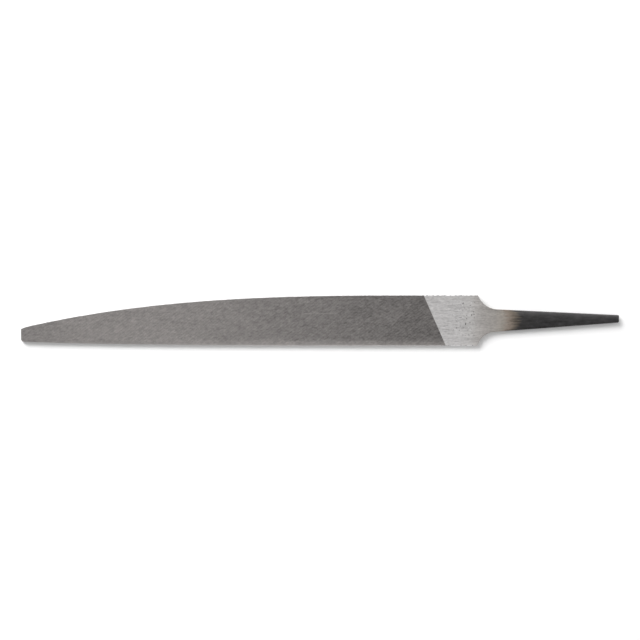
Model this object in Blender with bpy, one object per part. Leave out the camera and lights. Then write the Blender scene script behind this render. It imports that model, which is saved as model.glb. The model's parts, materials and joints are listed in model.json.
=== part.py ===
"""A 6 in knife-pattern file without a handle: one forged, ground and hardened piece of tool steel.

Metres, +Z up. The file lies on one of its two broad faces. +X runs from the point to the tang and
+Y towards the thick, curved back. The origin is under the middle of the file's box.

The section is a wedge: thick at the back, thinner at the straight edge. Both broad faces are flat, so
the blade gets thinner towards the point because its back curves in towards the thin edge.
"""

import math

import bmesh
import bpy
from mathutils import Vector

MM = 0.001
INCH = 25.4 * MM

# Blade, seen from above
BLADE_LENGTH = 6 * INCH  # from the point to the heel, the length that a file is sold by
WIDTH = 16.8 * MM
STRAIGHT_BACK = 19.6 * MM  # of the back, ahead of the heel, before it starts to curve
BACK_DROP = 10.9 * MM  # how far the back has come in at the point
BACK_POWER = 2.84
POINT_EASE = 0.25 * MM  # how much more is ground off the back's corner at the point
POINT_EASE_LENGTH = 1.8 * MM  # and how far along it
EDGE_RISE = 1.25 * MM  # how far the thin edge has come in at the point
EDGE_POWER = 3.2
POINT_RADIUS = 0.45 * MM  # of the corner between the thin edge and the blunt point

# Tang, seen from above
TANG_LENGTH = 47.2 * MM
TANG_ROOT_BACK = 3.68 * MM  # from the middle of the blade to the tang's two edges, at its root
TANG_ROOT_EDGE = -3.65 * MM
TANG_TIP_BACK = 1.82 * MM  # the same at the tip, which sits a little towards the back
TANG_TIP_EDGE = -0.70 * MM
ROOT_LENGTH = 7.4 * MM  # from the heel to the tang's root, where the shoulders have run out
BACK_SHOULDER_RADIUS = 7.5 * MM
EDGE_SHOULDER_RADIUS = 6.3 * MM

# Thickness
BACK_THICKNESS = 4.0 * MM
EDGE_THICKNESS = 1.6 * MM
ROOT_RELIEF = 0.45 * MM  # how far each broad face has come in at the tang's root
TIP_RELIEF = 0.8 * MM  # and at its tip

# Corners of the section
BLADE_CORNER = 0.3 * MM
TANG_CORNER = 0.45 * MM
POINT_CHAMFER = 0.15 * MM
TIP_CHAMFER = 0.25 * MM

# How finely curves are cut into flats
CURVE_STEPS = 44
POINT_STEPS = 5
SHOULDER_STEPS = 14

POINT_X = -(BLADE_LENGTH + TANG_LENGTH) / 2
TIP_X = -POINT_X
HEEL_X = POINT_X + BLADE_LENGTH
ROOT_X = HEEL_X + ROOT_LENGTH
CURVE_X = HEEL_X - STRAIGHT_BACK
CURVE_LENGTH = CURVE_X - POINT_X

STEEL_COLOUR = (0.34, 0.33, 0.32, 1.0)
STEEL_ROUGHNESS = 0.45


def between(low, high, share):
    return low + (high - low) * share


def curved_in(x, distance, power):
    """How far an edge of the blade has come in at x, when it comes in by distance at the point."""
    return distance * max((CURVE_X - x) / CURVE_LENGTH, 0) ** power


class TangSide:
    """One edge of the tang, seen from above: a straight taper, joined to the heel's corner by an arc.

    The arc is tangent to the taper and passes through the corner. side is 1 at the back and -1 at
    the thin edge, and everything here is worked out with the side turned to +Y.
    """

    def __init__(self, side, root_y, tip_y, radius):
        self.side = side
        self.root = Vector((ROOT_X, side * root_y))
        self.along = (Vector((TIP_X, side * tip_y)) - self.root).normalized()
        out = Vector((-self.along.y, self.along.x))
        corner = Vector((HEEL_X, WIDTH / 2))
        height = (corner - self.root).dot(out)
        reach = math.sqrt(2 * radius * height - height**2)
        self.meets = corner + reach * self.along - height * out
        self.centre = self.meets + radius * out
        self.radius = radius

    def y(self, x):
        if x >= self.meets.x:
            return self.side * (self.root.y + (x - self.root.x) * self.along.y / self.along.x)
        return self.side * (self.centre.y - math.sqrt(self.radius**2 - (x - self.centre.x) ** 2))


BACK_SIDE = TangSide(1, TANG_ROOT_BACK, TANG_TIP_BACK, BACK_SHOULDER_RADIUS)
EDGE_SIDE = TangSide(-1, TANG_ROOT_EDGE, TANG_TIP_EDGE, EDGE_SHOULDER_RADIUS)


def back_y(x):
    """The thick back, seen from above."""
    if x > HEEL_X:
        return BACK_SIDE.y(x)
    eased = POINT_EASE * max(1 - (x - POINT_X) / POINT_EASE_LENGTH, 0)
    return WIDTH / 2 - curved_in(x, BACK_DROP, BACK_POWER) - eased


def edge_y(x):
    """The thin edge, seen from above, with its rounded corner at the point."""
    if x > HEEL_X:
        return EDGE_SIDE.y(x)
    y = -WIDTH / 2 + curved_in(x, EDGE_RISE, EDGE_POWER)
    inside = max(POINT_RADIUS - (x - POINT_X), 0)
    return y + POINT_RADIUS - math.sqrt(POINT_RADIUS**2 - inside**2)


def relief(x):
    """How far each broad face lies inside the blade's own flat, which is nowhere on the blade."""
    if x <= HEEL_X:
        return 0
    if x <= ROOT_X:
        return between(0, ROOT_RELIEF, (x - HEEL_X) / (ROOT_X - HEEL_X))
    return between(ROOT_RELIEF, TIP_RELIEF, (x - ROOT_X) / (TIP_X - ROOT_X))


def top_z(x, y):
    wedge = between(EDGE_THICKNESS, BACK_THICKNESS, (y + WIDTH / 2) / WIDTH)
    return wedge - relief(x)


def corner_size(x):
    share = min(max((x - HEEL_X) / (ROOT_X - HEEL_X), 0), 1)
    return between(BLADE_CORNER, TANG_CORNER, share)


def section(x, inset=0):
    """The section at x, as a ring of points with each of its four corners rounded off.

    An inset draws the ring in from its own outline, for a chamfered end.
    """
    low_y = edge_y(x) + inset
    high_y = back_y(x) - inset
    corners = [
        Vector((x, low_y, relief(x) + inset)),
        Vector((x, high_y, relief(x) + inset)),
        Vector((x, high_y, top_z(x, high_y) - inset)),
        Vector((x, low_y, top_z(x, low_y) - inset)),
    ]
    size = max(corner_size(x) - inset, BLADE_CORNER / 2)
    ring = []
    for i, corner in enumerate(corners):
        before = corner + size * (corners[i - 1] - corner).normalized()
        after = corner + size * (corners[(i + 1) % 4] - corner).normalized()
        ring += [before, (before + after + 2 * corner) / 4, after]
    return ring


def stations():
    """The places along the file where its section is drawn, from the point to the tip of the tang."""
    turn = math.pi / 2 / POINT_STEPS
    point = [POINT_X + POINT_RADIUS * (1 - math.cos(i * turn)) for i in range(1, POINT_STEPS + 1)]
    point.append(POINT_X + POINT_EASE_LENGTH)
    curve = [between(point[-1], CURVE_X, i / CURVE_STEPS) for i in range(1, CURVE_STEPS + 1)]
    shoulder = [between(HEEL_X, ROOT_X, i / SHOULDER_STEPS) for i in range(SHOULDER_STEPS + 1)]
    meets = [BACK_SIDE.meets.x, EDGE_SIDE.meets.x]
    return sorted(point + curve + shoulder + meets)


def file_mesh():
    """The whole file as one closed mesh, lofted through its sections."""
    bm = bmesh.new()
    rings = [section(POINT_X, POINT_CHAMFER)]
    rings += [section(x) for x in stations()]
    rings += [section(TIP_X - TIP_CHAMFER), section(TIP_X, TIP_CHAMFER)]
    made = [[bm.verts.new(point) for point in ring] for ring in rings]
    for one, other in zip(made, made[1:]):
        for i in range(len(one)):
            j = (i + 1) % len(one)
            bm.faces.new((one[i], other[i], other[j], one[j]))
    bm.faces.new(made[0])
    bm.faces.new(reversed(made[-1]))
    bmesh.ops.recalc_face_normals(bm, faces=bm.faces)
    mesh = bpy.data.meshes.new("knife_file")
    bm.to_mesh(mesh)
    bm.free()
    mesh.shade_smooth()
    mesh.set_sharp_from_angle(angle=math.radians(30))
    return mesh


def steel():
    material = bpy.data.materials.new("tool_steel")
    material.use_nodes = True
    shader = material.node_tree.nodes["Principled BSDF"]
    shader.inputs["Base Color"].default_value = STEEL_COLOUR
    shader.inputs["Metallic"].default_value = 1.0
    shader.inputs["Roughness"].default_value = STEEL_ROUGHNESS
    return material


def main():
    for thing in list(bpy.data.objects):
        bpy.data.objects.remove(thing)
    mesh = file_mesh()
    mesh.materials.append(steel())
    blank = bpy.data.objects.new("knife_file", mesh)
    bpy.context.scene.collection.objects.link(blank)


main()
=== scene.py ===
"""Looks of the 6 in knife-pattern file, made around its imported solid. Metres, +Z up.

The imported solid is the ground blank. Here a copy of it is cut the way a file is cut: double-cut
teeth on both broad faces, an upcut-only corner beside the heel, single-cut teeth on the thin edge
and punch marks on the heel. The steel is then ground, heat-tinted and blackened by its materials.
"""

import json
import math
import random

import bmesh
import bpy
import numpy as np
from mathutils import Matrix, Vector

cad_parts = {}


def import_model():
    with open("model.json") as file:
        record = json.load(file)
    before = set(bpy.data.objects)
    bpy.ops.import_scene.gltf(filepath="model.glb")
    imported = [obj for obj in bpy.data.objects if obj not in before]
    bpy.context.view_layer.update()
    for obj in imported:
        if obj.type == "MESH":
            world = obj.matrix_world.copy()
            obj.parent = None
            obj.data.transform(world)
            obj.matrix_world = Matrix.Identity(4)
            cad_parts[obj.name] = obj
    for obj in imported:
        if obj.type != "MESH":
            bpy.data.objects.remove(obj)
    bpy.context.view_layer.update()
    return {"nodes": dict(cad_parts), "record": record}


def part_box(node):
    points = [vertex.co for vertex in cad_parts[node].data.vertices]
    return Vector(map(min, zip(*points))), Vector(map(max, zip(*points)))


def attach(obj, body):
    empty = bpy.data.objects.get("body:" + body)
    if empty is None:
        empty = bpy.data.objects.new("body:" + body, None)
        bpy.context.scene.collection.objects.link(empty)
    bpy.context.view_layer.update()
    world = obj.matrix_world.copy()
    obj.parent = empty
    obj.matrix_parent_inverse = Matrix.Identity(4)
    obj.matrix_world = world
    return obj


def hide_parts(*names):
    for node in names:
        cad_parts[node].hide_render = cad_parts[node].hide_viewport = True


MM = 0.001
INCH = 25.4 * MM
BLADE_LENGTH = 6 * INCH  # from the point to the heel
ROOT_LENGTH = 7.4 * MM  # from the heel to the tang's root

# The cuts, seen from above with the tang to the right. Angles are from the file's length.
UPCUT_ANGLE = math.radians(66)  # falls towards the tang
UPCUT_PITCH = INCH / 62
UPCUT_DEPTH = 0.13 * MM
UPCUT_AHEAD = 18.1 * MM  # from the heel to the first upcut, along the back
OVERCUT_ANGLE = math.radians(47)  # rises towards the tang
OVERCUT_PITCH = INCH / 54
OVERCUT_DEPTH = 0.07 * MM
OVERCUT_AHEAD = 19.4 * MM  # from the heel to the first overcut, along the back
# One tooth from its crest to the next crest behind it, as shares of the pitch and of the depth
UPCUT_TOOTH = ((0.0, 0.0), (0.72, 1.0))
OVERCUT_TOOTH = ((0.0, 0.0), (0.7, 1.0))
GROUND, CUT = 0, 1  # the file's material slots
SHARP_ANGLE = math.radians(12)
WELD = 1e-7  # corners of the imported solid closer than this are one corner
CUTTER_WELD = 1e-8
CREST_DEPTH = 0.01 * MM  # a crest stays this far inside the ground blank
CUTTER_MARGIN = 1.2 * MM  # how far a cutter reaches past the blank's outline
CUTTER_LID = 0.6 * MM  # and above its surface

# Thin edge, single cut straight across
EDGE_PITCH = INCH / 54
EDGE_DEPTH = 0.09 * MM
EDGE_TOOTH = ((0.0, 0.0), (0.7, 1.0))
EDGE_LEAN = 0.4 * MM  # how far each tooth leans towards the tang over the edge's thickness
EDGE_PLAIN = 11 * MM  # left uncut ahead of the heel

# Punch marks on the heel, in place of the maker's: small dents in a loose block that spells nothing
MARK_SEED = 11
MARK_TRIES = 160  # places tried; a mark that would touch an earlier one is left out
MARK_BLOCK = (7.6 * MM, 11.2 * MM)
MARKS_FROM_HEEL = 4.8 * MM  # the middle of the block, ahead of the heel
MARKS_UP = 0.4 * MM  # and towards the back
MARK_LENGTHS = (0.4 * MM, 0.9 * MM)
MARK_WIDTHS = (0.3 * MM, 0.5 * MM)
MARK_SLOPES = (math.radians(22), math.radians(36))  # of a mark's sides
MARK_GAP = 0.05 * MM
MARK_PROW = 0.8  # how far a mark's keel stays inside its ends, as a share of half its width

# Finishes. Colours are linear, and lengths inside a material are plain millimetres.
CUT_COLOUR = (0.533, 0.505, 0.493)
CUT_ROUGHNESS = 0.55
GROUND_ROUGHNESS = 0.42
BLACK_ROUGHNESS = 0.6
# Colours past the heel: ground steel, its duller shoulders, straw, brown, and black oxide
HEAT_TINTS = (
    (-6.0, (0.696, 0.681, 0.676)),
    (-2.2, (0.667, 0.650, 0.638)),
    (-0.6, (0.590, 0.567, 0.550)),
    (2.0, (0.524, 0.498, 0.477)),
    (5.6, (0.482, 0.454, 0.427)),
    (8.6, (0.443, 0.404, 0.361)),
    (10.6, (0.366, 0.305, 0.258)),
    (12.6, (0.193, 0.166, 0.138)),
    (14.6, (0.077, 0.074, 0.074)),
    (22.0, (0.076, 0.074, 0.076)),
    (46.0, (0.090, 0.088, 0.089)),
)
# A noise is ((size along, across and up), turn from +X in degrees, detail, seed)
SPECK_NOISE = ((0.9, 0.6, 0.6), 0, 1.0, 7.0)
SPOT_NOISE = ((1.2, 0.9, 0.9), 0, 1.0, 12.0)
CUT_ROUGH_NOISE = ((6.0, 3.0, 3.0), 0, 3.0, 1.0)
LINE_NOISE = ((4.0, 0.33, 0.33), 0, 4.0, 0.0)  # grinding lines
FLECK_NOISE = ((0.9, 0.45, 0.45), 0, 3.0, 9.0)
RAGGED_NOISE = ((6.0, 0.4, 0.4), 0, 3.0, 2.0)
BACK_SHEEN_NOISE = ((2.2, 0.9, 0.9), 0, 3.0, 17.0)
STAMPED_NOISE = ((0.6, 0.6, 0.6), 0, 1.0, 29.0)
# Noises that vary the brightness, each with its strength
CUT_MOTTLE = (
    (((11.0, 4.0, 4.0), 0, 4.0, 0.0), 0.10),
    (((1.8, 0.9, 0.9), 0, 2.0, 3.0), 0.18),
    (((1.8, 0.5, 0.5), 22, 1.0, 31.0), 0.16),  # rows of tooth points
    (((0.7, 0.5, 0.5), 0, 1.0, 21.0), 0.24),
)
GROUND_MOTTLE = (
    (((26.0, 1.6, 1.6), 0, 3.0, 5.0), 0.20),
    (LINE_NOISE, 0.34),
    (FLECK_NOISE, 0.36),
    (((4.5, 3.0, 3.0), 0, 2.0, 4.0), 0.10),
)
# A shade is (where it starts, where it is full, how much it adds to the brightness)
GULLET_PAINTED_SHADE = (0.03, UPCUT_DEPTH / MM, -0.22)  # by depth: painted shade in the gullets
HEELWARD_PAINTED_SHADE = (-62.0, 38.0, -0.29)  # by x: painted shade, the cut darker towards the heel as the light falls off
POINT_SHADE = (-80.0, -98.0, -0.12)  # darker at the point too
UPCUT_ONLY_PAINTED_SHADE = (-0.1, 0.3, -0.035)  # painted shade over the upcut-only corner, where no overcut faces catch the key light, by distance past the upper face's first overcut
BORDER_SHADE = (0.4, 0.1, 0.06)  # by distance from it
SPECK_SHADE = (0.62, 0.72, 0.30)  # by SPECK_NOISE
SPOT_SHADE = (-0.58, -0.70, -0.22)  # by SPOT_NOISE
CORNER_RUB_AND_PAINTED_HIGHLIGHT = (0.45, 0.1, 0.3)  # by distance from the thin edge: a painted highlight along its corner, which is also rubbed
GROUND_SIDE_RUB_AND_PAINTED_HIGHLIGHT = (1.6, 0.3, 0.14)  # the same rubbing and painted highlight, by the same distance, on the ground steel
# Painted sheen on the cut beside the thin edge, stronger towards the heel
CUT_SIDE = (2.6, 0.5)  # from the thin edge
CUT_SIDE_ALONG = (-90.0, 20.0)
CUT_SIDE_PAINTED_SHEEN = 0.27
# A faint line rubbed along the broad faces
RUB_X = -1.0
RUB_Y = 2.35
RUB_SLOPE = 0.02
RUB_HALF_LENGTH = (8.5, 3.0)
RUB_HALF_WIDTH = (0.35, 0.05)
RUB_SHINE = 0.16
# Black oxide, by distance past the heel. Its border is ragged, and bowed by the tang's two sides.
ON_TANG = (7.0, 10.0)
BLACK = (10.5, 14.5)
RAGGED = 2.3
BOW = 2.4
BOW_POWER = 4.0
# Painted sheen: the black is lighter towards the tang's back, where its rounded corner catches the light,
# and unevenly so
BACK_SHEEN_LEAST = 0.85
BACK_SHEEN_GAIN = 1.7
BACK_SHEEN_POWER = 4.0
BACK_SHEEN_UNEVEN = 0.5
# Punch marks, by depth and by distance past the heel
STAMPED_DEEP = (0.015, 0.05)
STAMPED_DEEPEST = (0.25, 0.2)
STAMPED_HEEL = (-1.0, -1.2)
STAMPED_UNEVEN = 2.0
STAMPED_SHINE = 0.1
STAMPED_ROUGHER = 0.05
UNEVEN_ROUGHNESS = 0.08
GRINDING_DEPTH = 0.01 * MM

# Camera, stage and light
LENS_MM = 135.0
SENSOR_MM = 36.0
VIEW_WIDTH = 213.6 * MM
AIM_ABOVE_MIDDLE = 0.17 * MM
FLOOR_SIZE = 3.0
FLOOR_COLOUR = (0.9, 0.9, 0.9)
FLOOR_ROUGHNESS = 0.9
SKY_LOW = 0.32  # strength at the horizon
SKY_HIGH = 0.72  # and straight above
KEY_PLACE = (-0.42, 0.58, 0.46)
KEY_SIZE = 0.8
KEY_POWER = 13.1
GLINT = 0.2  # the share of the key light that glossy surfaces reflect, so that the steel keeps its tone


class Plane:
    """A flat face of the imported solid, from the mount that names it."""

    def __init__(self, record, mount_name):
        mount = next(m for m in record["mounts"] if m["name"] == mount_name)
        self.point = Vector(mount["pos_m"])
        self.normal = Vector(mount["axis"]).normalized()
        self.out = 1 if self.normal.z > 0 else -1

    def z(self, x, y):
        n = self.normal
        return self.point.z - (n.x * (x - self.point.x) + n.y * (y - self.point.y)) / n.z


def new_object(name, mesh):
    made = bpy.data.objects.new(name, mesh)
    bpy.context.scene.collection.objects.link(made)
    return made


def mesh_of(name, points, faces):
    """A mesh with every face turned outwards."""
    mesh = bpy.data.meshes.new(name)
    mesh.from_pydata([tuple(p) for p in points], [], [tuple(f) for f in faces])
    bm = bmesh.new()
    bm.from_mesh(mesh)
    bmesh.ops.remove_doubles(bm, verts=bm.verts, dist=CUTTER_WELD)
    bmesh.ops.recalc_face_normals(bm, faces=bm.faces)
    bm.to_mesh(mesh)
    bm.free()
    return mesh


def cut(target, cutter, finish=CUT):
    """Takes the cutter away from the target, for good. The faces that it leaves get a finish."""
    for material in target.data.materials:
        cutter.data.materials.append(material)
    for face in cutter.data.polygons:
        face.material_index = finish
    modifier = target.modifiers.new("cut", "BOOLEAN")
    modifier.operation = "DIFFERENCE"
    modifier.solver = "MANIFOLD"
    modifier.object = cutter
    graph = bpy.context.evaluated_depsgraph_get()
    mesh = bpy.data.meshes.new_from_object(target.evaluated_get(graph), depsgraph=graph)
    target.modifiers.remove(modifier)
    old = target.data
    target.data = mesh
    bpy.data.meshes.remove(old)
    bpy.data.objects.remove(cutter)


def tooth_levels(first, pitch, count, tooth, depth):
    """Positions across a cut, ascending to the first crest, and how deep the steel lies at each."""
    levels = []
    for k in range(count, 0, -1):
        for along, deep in tooth:
            levels.append((first - k * pitch + along * pitch, deep * depth))
    levels.append((first, 0.0))
    return levels


def first_overcut(heel_x, back_y):
    """Where the first overcut lies, measured square to the overcuts."""
    return math.sin(OVERCUT_ANGLE) * (heel_x - OVERCUT_AHEAD) - math.cos(OVERCUT_ANGLE) * back_y


def teeth_cutter(name, plane, low, high, heel_x):
    """A closed sheet over the cut part of one broad face, toothed on the side that meets the steel.

    It is built on a grid whose lines run along the two cuts, so every crest and gullet is an edge.
    On the lower face the pattern is turned over with the file, as a file is cut.
    """
    turned = plane.out
    across_up = np.array((math.sin(UPCUT_ANGLE), turned * math.cos(UPCUT_ANGLE)))
    across_over = np.array((math.sin(OVERCUT_ANGLE), -turned * math.cos(OVERCUT_ANGLE)))
    first_up = float(across_up @ (heel_x - UPCUT_AHEAD, turned * high.y))
    first_over = first_overcut(heel_x, high.y)
    far = float(across_up @ (low.x, turned * low.y)) - CUTTER_MARGIN
    up = tooth_levels(
        first_up, UPCUT_PITCH, math.ceil((first_up - far) / UPCUT_PITCH), UPCUT_TOOTH, UPCUT_DEPTH
    )
    far = float(across_over @ (low.x, turned * high.y)) - 2 * CUTTER_MARGIN
    over = tooth_levels(
        first_over,
        OVERCUT_PITCH,
        math.ceil((first_over - far) / OVERCUT_PITCH),
        OVERCUT_TOOTH,
        OVERCUT_DEPTH,
    )
    over.append((first_over + 2 * (high.y - low.y), 0.0))  # upcut only from here to the heel
    p, p_depth = np.array(up).T
    q, q_depth = np.array(over).T
    inverse = np.linalg.inv(np.array((across_up, across_over)))
    grid = np.stack(np.meshgrid(p, q, indexing="ij"), axis=-1) @ inverse.T
    depth = np.maximum.outer(p_depth, q_depth) + CREST_DEPTH
    x, y = grid[..., 0], grid[..., 1]
    surface = plane.z(x, y)
    toothed = np.stack((x, y, surface - plane.out * depth), axis=-1)
    lid = np.stack((x, y, surface + plane.out * CUTTER_LID), axis=-1)
    corners = np.stack((grid[:-1, :-1], grid[1:, :-1], grid[1:, 1:], grid[:-1, 1:]))
    least, most = corners.min(axis=0), corners.max(axis=0)
    keep = (
        (most[..., 0] > low.x - CUTTER_MARGIN)
        & (most[..., 1] > low.y - CUTTER_MARGIN)
        & (least[..., 1] < high.y + CUTTER_MARGIN)
    )
    return new_object(name, closed_sheet(name, toothed, lid, keep))


def closed_sheet(name, one_side, other_side, keep):
    """A closed mesh over the kept cells of a grid, between two surfaces on that grid."""
    rows, columns = one_side.shape[:2]
    number = np.arange(rows * columns).reshape(rows, columns)
    a, b, c, d = number[:-1, :-1], number[1:, :-1], number[1:, 1:], number[:-1, 1:]
    shift = rows * columns
    faces = [np.stack((a, b, c, d), -1)[keep], np.stack((d, c, b, a), -1)[keep] + shift]
    edge = np.pad(keep, 1)
    for beside, one, two in (
        (edge[:-2, 1:-1], a, d),
        (edge[2:, 1:-1], c, b),
        (edge[1:-1, :-2], b, a),
        (edge[1:-1, 2:], d, c),
    ):
        open_side = keep & ~beside
        wall = np.stack((one, two, two + shift, one + shift), -1)
        faces.append(wall[open_side])
    faces = np.concatenate(faces)
    used, faces = np.unique(faces, return_inverse=True)
    points = np.concatenate((one_side.reshape(-1, 3), other_side.reshape(-1, 3)))[used]
    return mesh_of(name, points.tolist(), faces.reshape(-1, 4).tolist())


def edge_cutter(name, node, low, top_z, last_x):
    """A comb that cuts the thin edge straight across, following its outline."""
    count = math.ceil((last_x - low.x) / EDGE_PITCH) + 1
    levels = tooth_levels(last_x, EDGE_PITCH, count, EDGE_TOOTH, EDGE_DEPTH)
    x, depth = np.array(levels).T
    z = (low.z + top_z) / 2
    y = np.array([edge_y(node, max(one, low.x + CREST_DEPTH), z, -1) for one in x])
    inner = np.stack((x, y + depth + CREST_DEPTH), -1)
    outer = np.stack((x, np.full_like(x, low.y - CUTTER_MARGIN)), -1)
    plan = np.stack((inner, outer), axis=1)
    base_z = low.z - CUTTER_LID
    roof_z = top_z + CUTTER_LID
    lean = EDGE_LEAN / (top_z - low.z)

    def at(z):
        leaned = plan[..., 0] + (z - low.z) * lean
        return np.stack((leaned, plan[..., 1], np.full_like(leaned, z)), -1)

    keep = np.ones((len(x) - 1, 1), bool)
    return new_object(name, closed_sheet(name, at(base_z), at(roof_z), keep))


def mark_cutter(name, plane, middle):
    """Boat-shaped punches scattered over a block, clear of each other, so that they spell nothing."""
    draw = random.Random(MARK_SEED)
    placed, points, faces = [], [], []
    for _ in range(MARK_TRIES):
        centre = middle + Vector([draw.uniform(-0.5, 0.5) * side for side in MARK_BLOCK])
        turn = draw.uniform(0, math.pi)
        half_length = draw.uniform(*MARK_LENGTHS) / 2
        half_width = min(draw.uniform(*MARK_WIDTHS) / 2, half_length)
        reach = math.hypot(half_length, half_width) + MARK_GAP
        if any((centre - other).length < reach + far for other, far in placed):
            continue
        placed.append((centre, reach))
        along = Vector((math.cos(turn), math.sin(turn)))
        across = Vector((-along.y, along.x)) * half_width
        keel = along * (half_length - MARK_PROW * half_width)
        along *= half_length
        depth = half_width * math.tan(draw.uniform(*MARK_SLOPES))
        first = len(points)
        for offset in (along + across, across - along, -along - across, along - across):
            at = centre + offset
            points.append((*at, plane.z(*at) + CREST_DEPTH))
        for offset in (keel, -keel):
            at = centre + offset
            points.append((*at, plane.z(*at) - depth))
        sides = ((0, 1, 2, 3), (0, 4, 5, 1), (2, 5, 4, 3), (1, 5, 2), (3, 4, 0))
        faces += [[first + i for i in side] for side in sides]
    return new_object(name, mesh_of(name, points, faces))


def blank_copy(node):
    """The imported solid's mesh again, with its split corners joined, as a new object."""
    bm = bmesh.new()
    bm.from_mesh(node.data)
    bmesh.ops.remove_doubles(bm, verts=bm.verts, dist=WELD)
    mesh = bpy.data.meshes.new("cut_file")
    bm.to_mesh(mesh)
    bm.free()
    mesh.attributes.remove(mesh.attributes["custom_normal"])
    return new_object("cut_file", mesh)


def crease(mesh, x):
    """Keeps the crease between two flats sharp, where they meet at x."""
    for edge in mesh.edges:
        if all(abs(mesh.vertices[i].co.x - x) < CREST_DEPTH for i in edge.vertices):
            edge.use_edge_sharp = True


def edge_y(node, x, z, side):
    """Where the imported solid's edge lies at x and z: its back for a side of 1, its thin edge for -1."""
    far = side * 2 * max(abs(corner[1]) for corner in node.bound_box)
    return node.ray_cast(Vector((x, far, z)), Vector((0, -side, 0)))[1].y


class Finish:
    """A metal material and short calls that add nodes to it. Positions in it are in millimetres."""

    def __init__(self, name):
        self.material = bpy.data.materials.new(name)
        self.material.use_nodes = True
        self.tree = self.material.node_tree
        self.shader = self.tree.nodes["Principled BSDF"]
        self.shader.inputs["Metallic"].default_value = 1.0
        place = self.add("ShaderNodeTexCoord").outputs["Object"]
        scaled = self.add("ShaderNodeMapping", {"Vector": place, "Scale": (1 / MM,) * 3})
        self.place = scaled.outputs["Vector"]
        split = self.add("ShaderNodeSeparateXYZ", {"Vector": self.place})
        self.x, self.y, self.z = split.outputs

    def add(self, kind, inputs=None, **settings):
        node = self.tree.nodes.new(kind)
        for key, value in settings.items():
            setattr(node, key, value)
        for key, value in (inputs or {}).items():
            if isinstance(value, bpy.types.NodeSocket):
                self.tree.links.new(value, node.inputs[key])
            else:
                node.inputs[key].default_value = value
        return node

    def maths(self, operation, one, two=0.0, three=0.0):
        node = self.add("ShaderNodeMath", {0: one, 1: two, 2: three}, operation=operation)
        return node.outputs[0]

    def noise(self, size, turn, detail, seed):
        """Noise from -1 to 1 whose features are size = (x, y, z) millimetres, turned in degrees."""
        placed = self.add(
            "ShaderNodeMapping",
            {
                "Vector": self.place,
                "Location": (seed,) * 3,
                "Rotation": (0, 0, math.radians(turn)),
                "Scale": size,
            },
            vector_type="TEXTURE",
        )
        made = self.add(
            "ShaderNodeTexNoise", {"Vector": placed.outputs[0], "Scale": 1.0, "Detail": detail}
        )
        return self.maths("MULTIPLY_ADD", made.outputs[0], 2.0, -1.0)

    def mottled(self, mottle):
        """A brightness around 1, varied by several noises."""
        bright = 1.0
        for noise, strength in mottle:
            bright = self.maths("MULTIPLY_ADD", self.noise(*noise), strength, bright)
        return bright

    def mask(self, value, low, high):
        """0 below low and 1 above high, or the other way round where low is above high."""
        spread = {"Value": value, "From Min": low, "From Max": high}
        return self.add("ShaderNodeMapRange", spread, interpolation_type="SMOOTHSTEP").outputs[0]

    def shaded(self, bright, value, shade):
        """A brightness with a shade added where value calls for it."""
        start, full, change = shade
        return self.maths("MULTIPLY_ADD", self.mask(value, start, full), change, bright)

    def mixed(self, share, one, other):
        node = self.add("ShaderNodeMix", {0: share, 2: one, 3: other}, data_type="FLOAT")
        return node.outputs[0]

    def below(self, plane):
        """How deep a point lies under a plane that slopes across the file."""
        slope = -plane.normal.y / plane.normal.z
        level = (plane.point.z - slope * plane.point.y) / MM
        return self.maths("SUBTRACT", self.maths("MULTIPLY_ADD", self.y, slope, level), self.z)

    def scaled(self, colour, factor):
        """A colour made brighter or darker by a factor."""
        node = self.add("ShaderNodeVectorMath", {0: colour}, operation="SCALE")
        self.tree.links.new(factor, node.inputs["Scale"])
        return node.outputs[0]

    def finish(self, colour, roughness, height=None, bump=0.0):
        self.tree.links.new(colour, self.shader.inputs["Base Color"])
        self.tree.links.new(roughness, self.shader.inputs["Roughness"])
        if height is not None:
            raised = self.add(
                "ShaderNodeBump", {"Height": height, "Distance": bump, "Strength": 1.0}
            )
            self.tree.links.new(raised.outputs[0], self.shader.inputs["Normal"])
        return self.material


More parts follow.
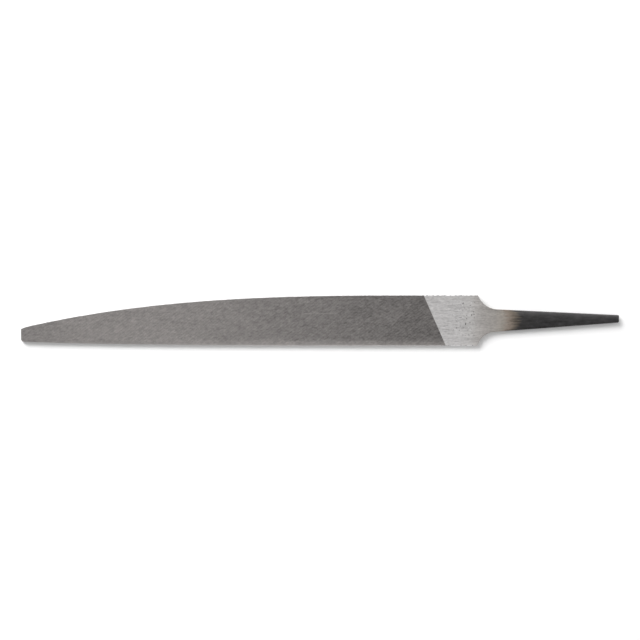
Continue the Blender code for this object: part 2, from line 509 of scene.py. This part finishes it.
def cut_steel(upper, lower, low_y, first_over):
    """Steel straight from the chisel: painted shade in its gullets, towards the heel and over the
    upcut-only corner, a painted sheen and highlight along the thin edge, and a faint rubbed line.
    """
    f = Finish("cut_steel")
    above_lower = f.maths("SUBTRACT", f.z, lower.point.z / MM)
    depth = f.maths("MINIMUM", f.below(upper), above_lower)
    # painted shade in the gullets
    bright = f.shaded(f.mottled(CUT_MOTTLE), depth, GULLET_PAINTED_SHADE)
    # painted shade towards the heel
    bright = f.shaded(bright, f.x, HEELWARD_PAINTED_SHADE)
    bright = f.shaded(bright, f.x, POINT_SHADE)

    line = f.maths("MULTIPLY_ADD", f.x, -RUB_SLOPE, f.maths("SUBTRACT", f.y, RUB_Y))
    from_line = f.mask(f.maths("ABSOLUTE", line), *RUB_HALF_WIDTH)
    from_middle = f.mask(f.maths("ABSOLUTE", f.maths("SUBTRACT", f.x, RUB_X)), *RUB_HALF_LENGTH)
    rubbed = f.maths("MULTIPLY", from_line, from_middle)
    bright = f.maths("MULTIPLY_ADD", rubbed, RUB_SHINE, bright)

    across = f.maths("MULTIPLY", f.x, math.sin(OVERCUT_ANGLE))
    across = f.maths("MULTIPLY_ADD", f.y, -math.cos(OVERCUT_ANGLE), across)
    across = f.maths("SUBTRACT", across, first_over / MM)
    # painted shade over the upcut-only corner
    bright = f.shaded(bright, across, UPCUT_ONLY_PAINTED_SHADE)
    bright = f.shaded(bright, f.maths("ABSOLUTE", across), BORDER_SHADE)
    bright = f.shaded(bright, f.noise(*SPECK_NOISE), SPECK_SHADE)
    bright = f.shaded(bright, f.noise(*SPOT_NOISE), SPOT_SHADE)

    from_edge = f.maths("SUBTRACT", f.y, low_y / MM)
    side = f.maths("MULTIPLY", f.mask(from_edge, *CUT_SIDE), f.mask(f.x, *CUT_SIDE_ALONG))
    # painted sheen beside the thin edge
    bright = f.maths("MULTIPLY_ADD", side, CUT_SIDE_PAINTED_SHEEN, bright)
    # painted highlight, with rubbing, along the thin edge's corner
    bright = f.shaded(bright, from_edge, CORNER_RUB_AND_PAINTED_HIGHLIGHT)
    rough = f.maths("MULTIPLY_ADD", f.noise(*CUT_ROUGH_NOISE), UNEVEN_ROUGHNESS, CUT_ROUGHNESS)
    return f.finish(f.scaled(CUT_COLOUR, bright), rough)


def heat_tint(f, past):
    """The colour at a distance past the heel."""
    start, end = HEAT_TINTS[0][0], HEAT_TINTS[-1][0]
    share = f.maths("DIVIDE", f.maths("SUBTRACT", past, start), end - start)
    ramp = f.add("ShaderNodeValToRGB", {0: share})
    stops = ramp.color_ramp.elements
    while len(stops) < len(HEAT_TINTS):
        stops.new(1.0)
    for stop, (distance, colour) in zip(stops, HEAT_TINTS):
        stop.position = (distance - start) / (end - start)
        stop.color = (*colour, 1.0)
    return ramp.outputs["Color"]


def ground_steel(heel_x, low_y, upper, tang):
    """Ground steel with its grinding lines, tinted by heat and then blackened along the tang, with a
    painted sheen towards the tang's back and a painted highlight by the thin edge.
    """
    f = Finish("ground_steel")
    share = tang.share(f)
    past = f.maths("SUBTRACT", f.x, heel_x / MM)
    to_side = f.maths("ABSOLUTE", f.maths("MULTIPLY_ADD", share, 2.0, -1.0))
    ragged = f.maths("MULTIPLY_ADD", f.noise(*RAGGED_NOISE), RAGGED, past)
    ragged = f.maths("MULTIPLY_ADD", f.maths("POWER", to_side, BOW_POWER), BOW, ragged)
    where = f.mixed(f.mask(past, *ON_TANG), past, ragged)
    black = f.mask(where, *BLACK)

    from_edge = f.maths("SUBTRACT", f.y, low_y / MM)
    # painted highlight, with rubbing, beside the thin edge
    bright = f.shaded(f.mottled(GROUND_MOTTLE), from_edge, GROUND_SIDE_RUB_AND_PAINTED_HIGHLIGHT)
    # painted sheen towards the tang's back
    back_sheen = f.maths("MULTIPLY_ADD", f.maths("POWER", share, BACK_SHEEN_POWER), BACK_SHEEN_GAIN, BACK_SHEEN_LEAST)
    back_sheen = f.maths("MULTIPLY_ADD", f.noise(*BACK_SHEEN_NOISE), BACK_SHEEN_UNEVEN, back_sheen)
    bright = f.maths("MULTIPLY", bright, f.mixed(black, 1.0, back_sheen))

    depth = f.below(upper)
    stamped = f.maths("MULTIPLY", f.mask(depth, *STAMPED_DEEP), f.mask(past, *STAMPED_HEEL))
    stamped = f.maths("MULTIPLY", stamped, f.mask(depth, *STAMPED_DEEPEST))
    uneven = f.maths("MULTIPLY_ADD", f.noise(*STAMPED_NOISE), STAMPED_UNEVEN, STAMPED_SHINE)
    bright = f.maths("MULTIPLY", bright, f.maths("MULTIPLY_ADD", stamped, uneven, 1.0))

    rough = f.maths("MULTIPLY_ADD", black, BLACK_ROUGHNESS - GROUND_ROUGHNESS, GROUND_ROUGHNESS)
    rough = f.maths("MULTIPLY_ADD", f.noise(*FLECK_NOISE), UNEVEN_ROUGHNESS, rough)
    rough = f.maths("MULTIPLY_ADD", stamped, STAMPED_ROUGHER, rough)
    colour = f.scaled(heat_tint(f, where), bright)
    return f.finish(colour, rough, f.noise(*LINE_NOISE), GRINDING_DEPTH)


class Tang:
    """The tang's outline from above: its two edges, as straight lines along X."""

    INSIDE = 2 * MM  # its edges are read this far inside its root and its tip

    def __init__(self, node, root_x, tip_x, z):
        near, far = root_x + self.INSIDE, tip_x - self.INSIDE
        self.lines = []
        for side in (-1, 1):
            y = edge_y(node, near, z, side)
            slope = (edge_y(node, far, z, side) - y) / (far - near)
            self.lines.append((slope, (y - slope * near) / MM))

    def share(self, f):
        """0 at the tang's thin side and 1 at its back, in a material."""
        low, high = [f.maths("MULTIPLY_ADD", f.x, slope, y) for slope, y in self.lines]
        wide = f.maths("SUBTRACT", high, low)
        share = f.maths("DIVIDE", f.maths("SUBTRACT", f.y, low), wide)
        return f.maths("MINIMUM", f.maths("MAXIMUM", share, 0.0), 1.0)


def stage():
    """A plain pale floor."""
    bpy.ops.mesh.primitive_plane_add(size=FLOOR_SIZE)
    floor = bpy.context.object
    floor.name = "floor"
    material = bpy.data.materials.new("floor")
    material.use_nodes = True
    shader = material.node_tree.nodes["Principled BSDF"]
    shader.inputs["Base Color"].default_value = (*FLOOR_COLOUR, 1.0)
    shader.inputs["Roughness"].default_value = FLOOR_ROUGHNESS
    floor.data.materials.append(material)


def camera(middle):
    data = bpy.data.cameras.new("camera")
    data.lens = LENS_MM
    data.sensor_width = SENSOR_MM
    made = bpy.data.objects.new("camera", data)
    bpy.context.scene.collection.objects.link(made)
    distance = VIEW_WIDTH * LENS_MM / SENSOR_MM
    made.location = (middle.x, middle.y + AIM_ABOVE_MIDDLE, middle.z + distance)
    bpy.context.scene.camera = made


def lights():
    world = bpy.data.worlds.new("studio")
    world.use_nodes = True
    nodes, links = world.node_tree.nodes, world.node_tree.links
    sky = nodes["Background"]
    sky.inputs["Color"].default_value = (1.0, 1.0, 1.0, 1.0)
    split = nodes.new("ShaderNodeSeparateXYZ")
    links.new(nodes.new("ShaderNodeTexCoord").outputs["Generated"], split.inputs[0])
    height = nodes.new("ShaderNodeMapRange")
    height.inputs["To Min"].default_value = SKY_LOW
    height.inputs["To Max"].default_value = SKY_HIGH
    links.new(split.outputs["Z"], height.inputs["Value"])
    links.new(height.outputs[0], sky.inputs["Strength"])
    bpy.context.scene.world = world
    key_light("key", 1 - GLINT, False)
    key_light("glint", GLINT, True)


def key_light(name, share, glossy):
    """A share of the key light, which the steel either reflects or doesn't."""
    data = bpy.data.lights.new(name, "AREA")
    data.shape = "DISK"
    data.size = KEY_SIZE
    data.energy = KEY_POWER * share
    made = bpy.data.objects.new(name, data)
    bpy.context.scene.collection.objects.link(made)
    made.location = KEY_PLACE
    made.rotation_euler = (-made.location).to_track_quat("-Z", "Y").to_euler()
    made.visible_glossy = glossy


def main():
    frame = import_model()
    node = frame["nodes"]["knife_file"]
    low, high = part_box("knife_file")
    heel_x = low.x + BLADE_LENGTH
    upper = Plane(frame["record"], "heel_face")
    lower = Plane(frame["record"], "rest_face")

    piece = blank_copy(node)
    piece.data.materials.clear()
    root_x = heel_x + ROOT_LENGTH
    tang = Tang(node, root_x, high.x, upper.z(root_x, 0) / 2)
    piece.data.materials.append(ground_steel(heel_x, low.y, upper, tang))
    first_over = first_overcut(heel_x, high.y)
    piece.data.materials.append(cut_steel(upper, lower, low.y, first_over))
    cut(piece, teeth_cutter("upper_teeth", upper, low, high, heel_x))
    cut(piece, teeth_cutter("lower_teeth", lower, low, high, heel_x))
    edge_top = upper.z(heel_x, low.y)
    cut(piece, edge_cutter("edge_teeth", node, low, edge_top, heel_x - EDGE_PLAIN))
    cut(piece, mark_cutter("marks", upper, Vector((heel_x - MARKS_FROM_HEEL, MARKS_UP))), GROUND)
    piece.data.shade_smooth()
    piece.data.set_sharp_from_angle(angle=SHARP_ANGLE)
    crease(piece.data, heel_x)

    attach(piece, "root")
    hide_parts("knife_file")
    stage()
    camera((low + high) / 2)
    lights()
    bpy.context.scene.view_settings.view_transform = "Standard"


main()
